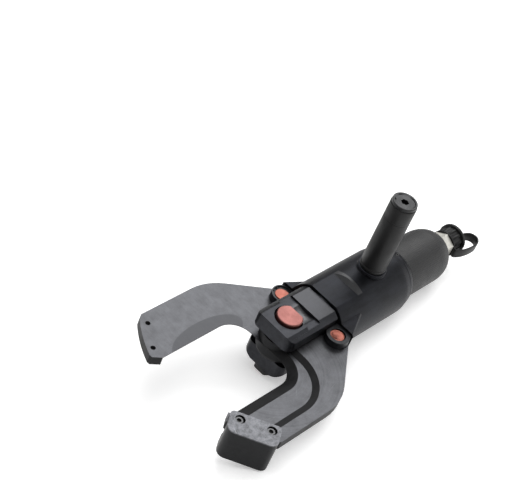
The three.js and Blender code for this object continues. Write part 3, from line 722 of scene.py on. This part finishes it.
def pivot_nut():
    """Hexagon nut with a round flange."""
    low, high = span("pivot_nut", 2)
    outline = rounded([
        (high, NUT_BORE_R), (high, NUT_R, 0.4), (low, NUT_R, 1.2), (low, NUT_BORE_R, 0.5),
    ], 0.2)
    nut = revolve(outline, "Z", (PIVOT_X, 0, 0), 96)
    flats = []
    for k in range(6):
        flat = block(NUT_HALF_WIDTH, 40, -20, 20, -60, high - 5)
        flat.transform(Matrix.Translation((PIVOT_X, 0, 0)) @ Matrix.Rotation(math.radians(60 * k), 4, "Z"))
        flats.append(flat)
    piece = combine("pivot_nut_fine", nut, cut=flats)
    soften(piece, 0.25)
    place(piece, "housing", NUT, ["pivot_nut"], "nut_steel")


def fork():
    """Clevis with a cheek above and below the blades, and the neck and bulkhead inside the body."""
    side, front, slot, neck_r, bulkhead_x = 30, FRONT_X + 2.3, 16.6, 37.2, -74

    def cheek(end, corner, low, high):
        """One plate, with round corners in front and round sides."""
        plan = [(front, -side, 0), (end, -side, corner), (end, side, corner), (front, side, 0)]
        plate = extrude(rounded(plan, 0, steps=18), low, high)
        return common(plate, rod("X", 0, 0, 43, -40, 90, 160))

    neck = common(block(bulkhead_x - 1, front + 1, -side, side, -40, 40), rod("X", 0, 0, neck_r, -90, 0, 160))
    bulkhead = rod("X", 0, 0, neck_r, bulkhead_x - 10, bulkhead_x, 160)
    gap = block(bulkhead_x, 90, -60, 60, -slot, slot)
    shelf = block(HOLLOW_BACK_X, HOLLOW_FRONT_X, -60, 60, FORK_TOP - 2.4, 60)
    scoop = rod("X", 0, 0, 30, HOLLOW_BACK_X, HOLLOW_FRONT_X, 160)
    scoop.transform(Matrix.Translation((0, 4, 61.5)))
    head_seat = common(rod("Z", PIVOT_X + 0.5, 0, 18.4, 29, 90), block(PIN_FLAT_X - 0.4, 99, -40, 40, 0, 99))
    pin_bore = rod("Z", PIVOT_X, 0, PIN_R + 0.3, -60, 60)
    rod_bore = rod("X", 0, 0, 10.3, -99, -50, 64)
    screws = [rolled(rod("Z", FORK_SCREW_X, 0, 3.2, -50, -27, 32), angle) for angle in FORK_SCREW_TURNS]
    piece = combine("fork_fine", neck,
                    join=[bulkhead, cheek(74.6, 11, 0, FORK_TOP), cheek(66, 9, FORK_BOTTOM, 0)],
                    cut=[gap, shelf, scoop, head_seat, pin_bore, rod_bore, *screws])
    soften(piece, 0.9, segments=4, angle=32, crease=25)
    place(piece, "housing", FORK, ["fork"], "fork_steel")


pivot_pin()
pivot_nut()
for node in ("upper_washer", "lower_washer"):
    refine(node, NUT, edge=0.2)
for node in ("wear_ring", "coupler_poppet"):
    refine(node, BRONZE, edge=0.2)
for number in (1, 2):
    refine(f"fork_screw_{number}", SCREW, edge=0.2)
fork()

# ---- body housing ----
BODY_R = 45
BODY_ROWS = (-19, -24, -29, -34, -39, -44, -49, -53, -57, -61, -66, -81, -124, -140)
BODY_BACK_X = -167
FLAT_Z = 40.1
FLAT_BACK_X = -56.2
RUNOUT_BACK_X = -66.3
RUNOUT_TOP = 50
BORE_R = 37.6
REAR_BORE_R = 33.9
BULKHEAD_BACK_X = -84.3
EAR_BACK_X = -54
EAR_BACK_Y = 37.4
EAR_FRONT_Y = 57
EAR_LOW = -13.7
EAR_HIGH = 26
EAR_WALL = 2.6
EAR_SLOPE = (EAR_FRONT_Y - EAR_BACK_Y) / (FRONT_X - EAR_BACK_X)
HANDLE_X = sum(span("handle_core", 0)) / 2
SEAT_Z = 43
SET_SCREW_X = -158


def brushed_runout(look):
    """The slope where the milled flat ends is brushed."""
    x, _, z = look.split()
    behind_flat = look.remap(x, FLAT_BACK_X + 0.4, FLAT_BACK_X - 0.2)
    inside = look.math("MULTIPLY", look.remap(x, -65.5, -64.6), behind_flat)
    above_flat = look.remap(look.math("ABSOLUTE", z), FLAT_Z - 0.5, FLAT_Z + 0.1)
    return look.math("MULTIPLY", inside, above_flat), grey(68)


BODY = satin_black("body oxide", grey(26, 6), grey(44, 6), roughness=(0.4, 0.54), metallic=0.85,
                   mark=brushed_runout)


def ear_outline(inset, front, step=0.0):
    """An ear seen from above, drawn in by an inset, and by a further step along its slanted side."""
    back = EAR_BACK_X + 2 * inset
    front_y = EAR_FRONT_Y + EAR_SLOPE * (front - FRONT_X) - inset - step
    back_y = EAR_BACK_Y + 2 * inset * EAR_SLOPE - inset - step
    return [(back, 20), (front, 20), (front, front_y), (back, back_y)]


def ear():
    """Flared ear that covers a link, with a bevel along its upper and lower edge."""
    bevel = 2.2
    return loft([
        (ear_outline(0, FRONT_X, bevel), EAR_LOW), (ear_outline(0, FRONT_X), EAR_LOW + bevel),
        (ear_outline(0, FRONT_X), EAR_HIGH - bevel), (ear_outline(0, FRONT_X, bevel), EAR_HIGH),
    ])


def body_housing():
    """Turned body with a milled flat above and below, and an ear on each side."""
    outline = rounded([
        (FRONT_X, BORE_R), (FRONT_X, BODY_R, 0.8), *[(x, BODY_R, 0) for x in BODY_ROWS],
        *rear_curve(), (BODY_BACK_X, REAR_BORE_R, 0.4),
        (BULKHEAD_BACK_X, REAR_BORE_R), (BULKHEAD_BACK_X, BORE_R),
    ], 0.3)
    shell = revolve(outline, "X", segments=160)
    bore = rod("X", 0, 0, BORE_R, BULKHEAD_BACK_X, 10, 160)
    flat = prism_y([
        (10, FLAT_Z), (10, RUNOUT_TOP), (RUNOUT_BACK_X, RUNOUT_TOP), (FLAT_BACK_X, FLAT_Z),
    ], -60, 60)
    pocket = extrude(ear_outline(EAR_WALL, 10), EAR_LOW + EAR_WALL, EAR_HIGH - EAR_WALL)
    seat = rod("Z", HANDLE_X, 0, 19.5, SEAT_Z - 0.6, 80)
    thread = rod("Z", HANDLE_X, 0, 5.6, 30, 60, 48)
    set_bore = rod("Z", SET_SCREW_X, 0, 2.6, 30, 60, 32)
    screws = []
    for angle in FORK_SCREW_TURNS:
        through = [(-60, 0), (-60, 5.4), (-40.6, 5.4), (-40.6, 3.2), (-20, 3.2), (-20, 0)]
        screws.append(rolled(revolve(through, "Z", (FORK_SCREW_X, 0, 0), 32), angle))
    ears = ear()
    piece = combine("body_housing_fine", shell, join=[ears.copy(), half_turn(ears)], cut=[
        bore, flat.copy(), half_turn(flat), pocket.copy(), half_turn(pocket), seat, thread, set_bore, *screws,
    ])
    soften(piece, 0.4, segments=3, angle=40, crease=18)
    place(piece, "housing", BODY, ["body_housing"], "body_black")


def rear_curve():
    """The rear end of the body draws in to meet the grip."""
    return [
        (-146, 44.5, 0.2), (-146.4, 43.9, 0.2), (-149, 43.6, 0), (-156, 42, 0.2), (-156.4, 41.4, 0.2),
        (-158.4, 41.4, 0.3), (-163, 39.8, 2), (BODY_BACK_X, 37.4, 0.8),
    ]


body_housing()
refine("lock_screw", SCREW, edge=0.15)

# ---- cylinder, grip, ram ----
MACHINED = steel("machined steel", grey(120), grey(178), roughness=(0.25, 0.4), blotch=14, grain=0.5,
                 scratches=0.2)
CHROME = steel("hard chrome", grey(185), grey(220), roughness=(0.08, 0.14), blotch=20, grain=0.4,
               relief=0.002, scratches=0.1, metallic=1.0)
SEAL = moulded("seal polyurethane", (0.03, 0.018, 0.01), (0.06, 0.035, 0.02), roughness=(0.35, 0.5),
               texture=0.5)
SPRING = satin_black("spring steel", grey(30), grey(62), metallic=0.75)
GRIP = moulded("grip skin", grey(10), grey(43), roughness=(0.46, 0.6), texture=2.6, relief=0.35,
               specular=0.4, knurled=True)
GRIP_R = 36.2
GRIP_BORE_R = 34.0
GRIP_FRONT_X = -167.6
ROUND_X = -232
ROUND_LENGTH = 32
ROUND_END_R = 18.5
END_COILS = 0.35


def rear_round(inset, steps=20):
    """Quarter ellipse that rounds off the rear end, from the grip's outside inwards."""
    length = ROUND_LENGTH - inset
    rise = GRIP_R - ROUND_END_R - inset
    return [(ROUND_X - length * c, ROUND_END_R + rise * s, 0) for c, s in arc(0, 0, 1, 90, 0, steps)]


def grip_sleeve():
    """Thin sleeve over the cylinder, drawn in to the adaptor at its rear."""
    inside = reversed(rear_round(GRIP_R - GRIP_BORE_R))
    outline = rounded([
        (GRIP_FRONT_X, GRIP_BORE_R, 0.3), (GRIP_FRONT_X, GRIP_R, 0.9), *rear_round(0), *inside,
    ], 0.3)
    sleeve = to_object("grip_sleeve_fine", revolve(outline, "X", segments=160))
    place(sleeve, "housing", GRIP, ["grip_sleeve"], "grip_skin")


def heading(points, i):
    """The direction of a path at one of its points."""
    return (points[min(i + 1, len(points) - 1)] - points[max(i - 1, 0)]).normalized()


def tube(name, points, radius, sides=14):
    """A closed round bar along points."""
    bm = bmesh.new()
    turns = [2 * math.pi * k / sides for k in range(sides)]
    normal = heading(points, 0).orthogonal()
    rows = []
    for i, point in enumerate(points):
        along = heading(points, i)
        normal = (normal - along * normal.dot(along)).normalized()
        across = along.cross(normal)
        ring = [point + radius * (math.cos(t) * normal + math.sin(t) * across) for t in turns]
        rows.append([bm.verts.new(p) for p in ring])
    skin(bm, rows)
    return to_object(name, bm)


def coil_spring(node, coil_r, wire, turns):
    """A spring with closed end coils."""
    low, high = span(node, 0)
    first, last = high - wire, low + wire
    steps = 36 * turns
    points = []
    for i in range(steps + 1):
        t = i / steps
        eased = t - 0.5 * math.sin(2 * math.pi * t) / math.pi * END_COILS
        turn = 2 * math.pi * turns * t
        along = first + (last - first) * eased
        points.append(Vector((along, coil_r * math.cos(turn), coil_r * math.sin(turn))))
    piece = tube(f"{node}_fine", points, wire)
    place(piece, "housing", SPRING, [node], "spring_steel")
    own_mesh(piece)


grip_sleeve()
coil_spring("return_spring", coil_r=17, wire=1.8, turns=7)
refine("cylinder_barrel", MACHINED, edge=0.4)
refine("crosshead", MACHINED, edge=0.4)
refine("piston", MACHINED, edge=0.3)
refine("piston_rod", CHROME, edge=0.3)
refine("piston_seal", SEAL, edge=0.3)
for side in ("near", "far"):
    refine(f"{side}_rear_pin", MACHINED, edge=0.3)

# ---- carrying handle ----
HANDLE = moulded("handle rubber", grey(16), grey(32), roughness=(0.42, 0.6), texture=1.2, relief=0.06,
                 specular=0.3)
HANDLE_END = turned("handle end", in_frame(HANDLE_X, 0), grey(44), grey(62))
RIM = steel("bright rim", grey(50), grey(90), roughness=(0.25, 0.35), blotch=4, scratches=0.2, metallic=0.9)
HANDLE_R = 16.8
HANDLE_BORE_R = 12.3
HANDLE_GROOVE_R = 16.2
HANDLE_TOP = 158.6
HANDLE_UNDER = 154.2
HANDLE_BAND_Z = HANDLE_UNDER - 22
BOLT_R = 5.3
BOLT_DISC_LOW = 154.5
BOLT_DISC_R = 16
DISH_R = 12.2
RIM_R = 13.8


def handle_ring():
    """Ring under the handle, with a groove round its middle."""
    low, high = span("handle_base_ring", 2)
    ring_r = span("handle_base_ring", 1)[1]
    waist = (low + high) / 2
    outline = rounded([
        (low, 6.3), (low, ring_r, 0.5), (waist - 0.5, ring_r, 0.9), (waist, ring_r - 0.7, 0.3),
        (waist + 0.5, ring_r, 0.9), (high, ring_r, 1.8), (high, 6.3),
    ], 0.3)
    ring = to_object("handle_ring_fine", revolve(outline, "Z", (HANDLE_X, 0, 0), 128))
    place(ring, "housing", BODY, ["handle_base_ring"], "body_black")


def handle_grip():
    """Rubber tube with a groove at its foot and a fine line near its top."""
    low = span("handle_grip", 2)[0]
    outline = rounded([
        (low, HANDLE_BORE_R), (low, HANDLE_R, 0.9),
        (low + 4, HANDLE_R, 0.4), (low + 4.5, HANDLE_GROOVE_R, 0.2),
        (low + 5.6, HANDLE_GROOVE_R, 0.2), (low + 6.1, HANDLE_R, 0.4),
        (HANDLE_BAND_Z - 0.6, HANDLE_R, 0.2), (HANDLE_BAND_Z - 0.3, HANDLE_R - 0.2, 0.1),
        (HANDLE_BAND_Z + 0.3, HANDLE_R - 0.2, 0.1), (HANDLE_BAND_Z + 0.6, HANDLE_R, 0.2),
        (HANDLE_UNDER, HANDLE_R, 0.9), (HANDLE_UNDER, HANDLE_BORE_R),
    ], 0.3)
    grip = to_object("handle_grip_fine", revolve(outline, "Z", (HANDLE_X, 0, 0), 128))
    place(grip, "housing", HANDLE, ["handle_grip"], "handle_rubber")


def handle_bolt():
    """Bolt whose dished head closes the handle, with a hexagon socket and a small hole."""
    low = span("handle_bolt", 2)[0]
    dish = HANDLE_TOP - 1.4
    outline = rounded([
        (low, 0, 0), (low, BOLT_R, 0.9), (BOLT_DISC_LOW, BOLT_R, 0), (BOLT_DISC_LOW, BOLT_DISC_R, 0.2),
        (HANDLE_TOP, BOLT_DISC_R, 0.9), (HANDLE_TOP, RIM_R, 0.5), (dish, DISH_R, 0.5), (dish, 0, 0),
    ], 0.3, steps=5, closed=False)
    bolt = revolve(outline, "Z", (HANDLE_X, 0, 0), 128)
    socket = hex_socket(HANDLE_X, 0, 5.2, HANDLE_TOP - 7, HANDLE_TOP + 1)
    hole = rod("Z", HANDLE_X + 6.5, -9.9, 1.1, HANDLE_TOP - 3, 170, 24)
    piece = combine("handle_bolt_fine", bolt, cut=[socket, hole])
    soften(piece, 0.25)
    place(piece, "housing", HANDLE_END, ["handle_bolt"], "handle_end")
    piece.data.materials.append(RIM)
    piece.data.materials.append(SCREW)
    for face in piece.data.polygons:
        at = in_tool(face)
        out = math.hypot(at.x - HANDLE_X, at.y)
        if out > DISH_R - 0.1:
            face.material_index = 1 if out < RIM_R + 0.1 else 2


handle_ring()
refine("handle_core", MACHINED, edge=0.2)
handle_grip()
handle_bolt()

# ---- hose coupler, dust cap, strap ----
ZINC = steel("zinc plate", grey(176, -2), grey(214, -2), roughness=(0.3, 0.44), blotch=6, grain=0.5,
             scratches=0.2, metallic=0.4)
CAP = moulded("cap rubber", grey(9), grey(20), roughness=(0.42, 0.56), texture=0.5, relief=0.015,
              specular=0.26)
CAP_RIBS = 12
CAP_RIBS_BACK_X = -303.3
CAP_RIBS_FRONT_X = -288.4
CAP_BORE_R = 15.2
CAP_R = 17
CAP_FLANGE_R = 20.2
CAP_FRONT_X = -287.2
CAP_BACK_X = -310.0
CAP_FLOOR_X = -306.4
CAP_BUTTON_R = 3
STRAP_HALF_WIDTH = 6.8
STRAP_HALF_THICKNESS = 1.1


def cap_swell(along, radius, turn):
    """Ribs round the cap's side."""
    if CAP_RIBS_BACK_X < along < CAP_RIBS_FRONT_X and abs(radius - CAP_R) < 0.5:
        return radius + max(0.0, min(1.0, 1.3 * math.cos(CAP_RIBS * turn)))
    return radius


def dust_cap():
    """Ribbed cap with a flange round its closed end and a button that holds the strap."""
    outline = rounded([
        (CAP_FRONT_X, CAP_BORE_R, 0.4), (CAP_FRONT_X, CAP_R - 0.2, 0.4),
        (-288.3, CAP_R, 0), (-289, CAP_R, 0), (-302.9, CAP_R, 0), (-303.4, CAP_R, 0.3),
        (-304, CAP_FLANGE_R, 0.9), (-308, CAP_FLANGE_R, 1.2), (-309.2, 18.6, 0.8), (CAP_BACK_X, 16, 0.6),
        (CAP_BACK_X, CAP_BUTTON_R, 0.4), (CAP_BACK_X - 2.4, CAP_BUTTON_R, 0.8), (CAP_BACK_X - 2.8, 0, 0),
        (CAP_FLOOR_X, 0, 0), (CAP_FLOOR_X, CAP_BORE_R, 0.6),
    ], 0.3, closed=False)
    cap = revolve(outline, "X", segments=144, swell=cap_swell)
    place(to_object("dust_cap_fine", cap), "cap", CAP, ["dust_cap"], "cap_rubber")


def spline(points, steps):
    """A smooth curve through points."""
    points = [Vector(p) for p in points]
    ends = [2 * points[0] - points[1], *points, 2 * points[-1] - points[-2]]
    result = []
    for a, b, c, d in zip(ends, ends[1:], ends[2:], ends[3:]):
        for k in range(steps):
            t = k / steps
            result.append(0.5 * (2 * b + (c - a) * t + (2 * a - 5 * b + 4 * c - d) * t ** 2
                                 + (3 * b - a - 3 * c + d) * t ** 3))
    return [*result, points[-1]]


def washer(name, back, front, bore_r, r, segments):
    """A flat rubber ring round the tool's length."""
    section = rounded([(back, bore_r), (back, r), (front, r), (front, bore_r)], 0.5)
    return to_object(name, revolve(section, "X", segments=segments))


def strap():
    """Moulded strap: a ring round the coupler, a loop, an eye on the cap."""
    place(washer("strap_ring", -286.8, -284.5, 15.2, 18.4, 96), "housing", CAP, slot="cap_rubber")
    place(washer("strap_eye", -312.3, -310.4, 3.3, 7.2, 64), "cap", CAP, slot="cap_rubber")
    route = spline([
        (-285.6, 17.6), (-286.4, 21.4), (-298, 26.2), (-314, 28.4), (-327, 27.2), (-334.6, 20.6),
        (-333.4, 12), (-325, 6.6), (-316, 5.6), (-311.5, 5.6),
    ], 8)
    thick, wide = STRAP_HALF_THICKNESS, STRAP_HALF_WIDTH
    section = rounded([(-thick, -wide), (thick, -wide), (thick, wide), (-thick, wide)], 0.8)
    bm = bmesh.new()
    rows = []
    for i, point in enumerate(route):
        along = heading(route, i)
        across = Vector((-along.y, along.x))
        rows.append([bm.verts.new((point.x + a * across.x, point.y + a * across.y, b)) for a, b in section])
    skin(bm, rows)
    band = to_object("strap_band", bm)
    band.data.materials.append(CAP)
    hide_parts("dust_cap_strap")
    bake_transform(band)


dust_cap()
strap()
coil_spring("poppet_spring", coil_r=4.2, wire=0.6, turns=4)
refine("hose_adaptor", ZINC, edge=0.4, segments=3)
refine("coupler_nipple", MACHINED, edge=0.3)

# ---- floor, light, camera ----
FLOOR_UP = Vector((0.0437, -0.2864, 0.9571)).normalized()
FLOOR_R = 6.0
FLOOR_GAP = 0.0005


def floor_material():
    """Pale matte floor that fades into the white backdrop, and isn't seen from below."""
    look = Look("studio floor", specular=0.2)
    speckle = look.noise(0.8, detail=2)
    rough = look.remap(speckle, 0, 1, 0.75, 0.85)
    colour = look.mix(speckle, (0.80, 0.80, 0.80), (0.84, 0.84, 0.84))
    look.finish(colour, rough, [(speckle, 0.03)])
    look.set(look.shader, {"Emission Color": (1, 1, 1, 1), "Emission Strength": 0.42})
    behind = look.add("ShaderNodeNewGeometry").outputs["Backfacing"]
    far = look.add("ShaderNodeVectorMath", {0: look.place}, operation="LENGTH").outputs["Value"]
    hidden = look.math("MAXIMUM", behind, look.remap(far, 700, 1500))
    clear = look.add("ShaderNodeBsdfTransparent").outputs[0]
    blend = look.add("ShaderNodeMixShader", {0: hidden, 1: look.shader.outputs[0], 2: clear})
    look.set(look.tree.nodes["Material Output"], {"Surface": blend.outputs[0]})
    return look.material


def floor():
    """The tool lies on its pivot nut, its guide block and the underside of its body."""
    depth = min(v.co.dot(FLOOR_UP) for node in NODES.values() for v in node.data.vertices)
    bm = bmesh.new()
    bmesh.ops.create_circle(bm, cap_ends=True, segments=96, radius=FLOOR_R)
    mesh = bpy.data.meshes.new("floor")
    bm.to_mesh(mesh)
    bm.free()
    plane = bpy.data.objects.new("floor", mesh)
    bpy.context.scene.collection.objects.link(plane)
    turn = Vector((0, 0, 1)).rotation_difference(FLOOR_UP).to_matrix().to_4x4()
    plane.matrix_world = Matrix.Translation(FLOOR_UP * (depth - FLOOR_GAP)) @ turn
    plane.data.materials.append(floor_material())


def softbox(name, spot, target, size, power):
    """A rectangular light that faces a target."""
    light = bpy.data.lights.new(name, "AREA")
    light.shape = "RECTANGLE"
    light.size, light.size_y = size
    light.energy = power
    lamp = bpy.data.objects.new(name, light)
    bpy.context.scene.collection.objects.link(lamp)
    lamp.location = spot
    lamp.rotation_euler = (Vector(target) - Vector(spot)).to_track_quat("-Z", "Y").to_euler()


def world():
    """White backdrop that lights the tool only faintly."""
    sky = bpy.data.worlds.new("studio")
    bpy.context.scene.world = sky
    sky.use_nodes = True
    tree = sky.node_tree
    light = tree.nodes["Background"]
    light.inputs["Color"].default_value = (1, 1, 1, 1)
    light.inputs["Strength"].default_value = 0.15
    seen = tree.nodes.new("ShaderNodeBackground")
    seen.inputs["Color"].default_value = (1, 1, 1, 1)
    path = tree.nodes.new("ShaderNodeLightPath")
    blend = tree.nodes.new("ShaderNodeMixShader")
    tree.links.new(path.outputs["Is Camera Ray"], blend.inputs[0])
    tree.links.new(light.outputs[0], blend.inputs[1])
    tree.links.new(seen.outputs[0], blend.inputs[2])
    tree.links.new(blend.outputs[0], tree.nodes["World Output"].inputs["Surface"])


def camera():
    """Looks down on the tool from its front on the guide block's side, rolled as a hand-held camera."""
    azimuth, elevation, roll = (math.radians(a) for a in (118.416, 40.364, 23.359))
    target = Vector((0.0447, -0.1185, 0.0801))
    distance = 1.8358
    look = Vector((-math.sin(azimuth) * math.cos(elevation), math.cos(azimuth) * math.cos(elevation),
                   -math.sin(elevation)))
    right = look.cross(Vector((0, 0, 1))).normalized()
    up = right.cross(look)
    turned_right = right * math.cos(roll) + up * math.sin(roll)
    turned_up = up * math.cos(roll) - right * math.sin(roll)
    data = bpy.data.cameras.new("camera")
    data.sensor_width = 36
    data.lens = 105.88
    data.clip_end = 50
    eye = bpy.data.objects.new("camera", data)
    bpy.context.scene.collection.objects.link(eye)
    turn = Matrix((turned_right, turned_up, -look)).transposed().to_4x4()
    eye.matrix_world = Matrix.Translation(target - look * distance) @ turn
    bpy.context.scene.camera = eye


floor()
world()
softbox("back softbox", (-1.5, -1.1, 1.9), (0, 0, 0.05), (2.4, 1.8), 60)
softbox("top softbox", (0.3, 0.2, 2.6), (0.1, 0, 0), (2.6, 2.6), 45)
softbox("side softbox", (-1.9, 1.3, 0.9), (0, 0, 0.05), (2.2, 1.4), 14)
softbox("front softbox", (1.2, -2.0, 0.9), (0, 0, 0.05), (2.2, 1.4), 14)
camera()
bpy.context.scene.view_settings.view_transform = "Standard"
